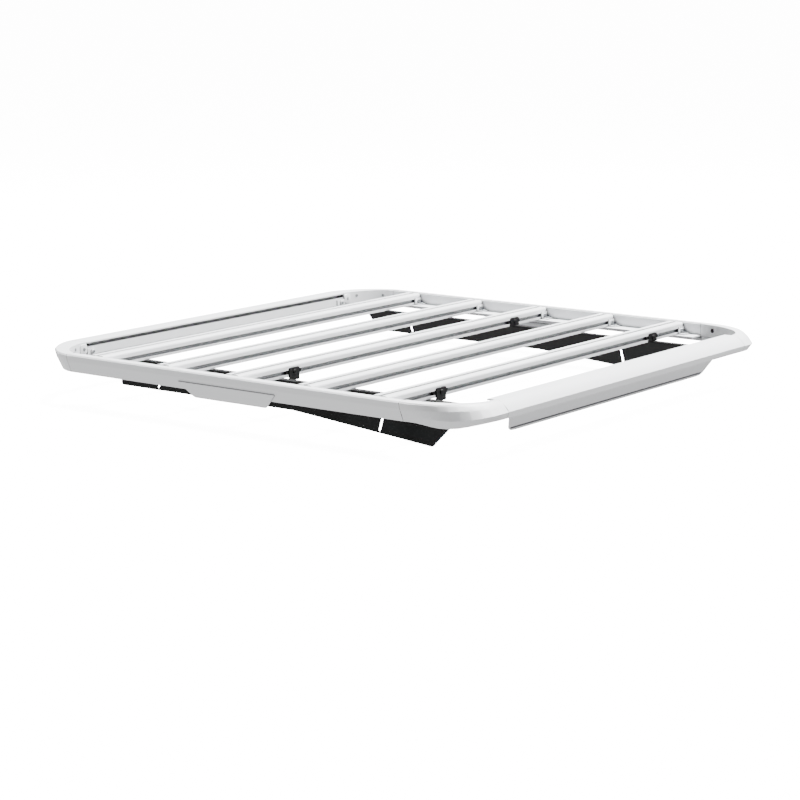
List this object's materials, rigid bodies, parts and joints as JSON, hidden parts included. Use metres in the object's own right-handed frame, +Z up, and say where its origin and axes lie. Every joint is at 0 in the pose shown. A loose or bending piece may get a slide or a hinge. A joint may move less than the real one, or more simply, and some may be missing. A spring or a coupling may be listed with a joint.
{
  "type": "flat platform roof rack",
  "caption": "Low flat roof rack: slotted crossbars inside a rounded rim with a bowed nose, on two leaning mounting rails.",
  "frame": {"origin": "centre of the bounding box's base, so the lowest foot edges stand at Z = 0", "axes": "+X points to the front where the nose and wind fairing are, +Y to the left and +Z up"},
  "size_m": [1.26, 1.274, 0.119],
  "materials": {
    "silver_coat": "satin",
    "black_coat": "satin"
  },
  "bodies": {
    "root": {"side_rail_left": "silver_coat", "side_rail_right": "silver_coat", "crossbar_1": "silver_coat", "crossbar_2": "silver_coat", "crossbar_3": "silver_coat", "crossbar_4": "silver_coat", "crossbar_5": "silver_coat", "rear_rail": "silver_coat", "rear_corner_left": "silver_coat", "rear_corner_right": "silver_coat", "nose_rail": "silver_coat", "front_corner_left": "silver_coat", "front_corner_right": "silver_coat", "side_cover_left": "silver_coat", "side_cover_right": "silver_coat", "wind_fairing": "silver_coat", "end_cleats_left": "silver_coat", "end_cleats_right": "silver_coat", "rear_joiner_left": "silver_coat", "rear_joiner_right": "silver_coat", "front_joiner_left": "silver_coat", "front_joiner_right": "silver_coat", "mount_rail_left": "black_coat", "mount_rail_right": "black_coat", "clamp_1_left": "black_coat", "clamp_1_right": "black_coat", "clamp_3_left": "black_coat", "clamp_3_right": "black_coat", "clamp_5_left": "black_coat", "clamp_5_right": "black_coat"}
  },
  "joints": []
}
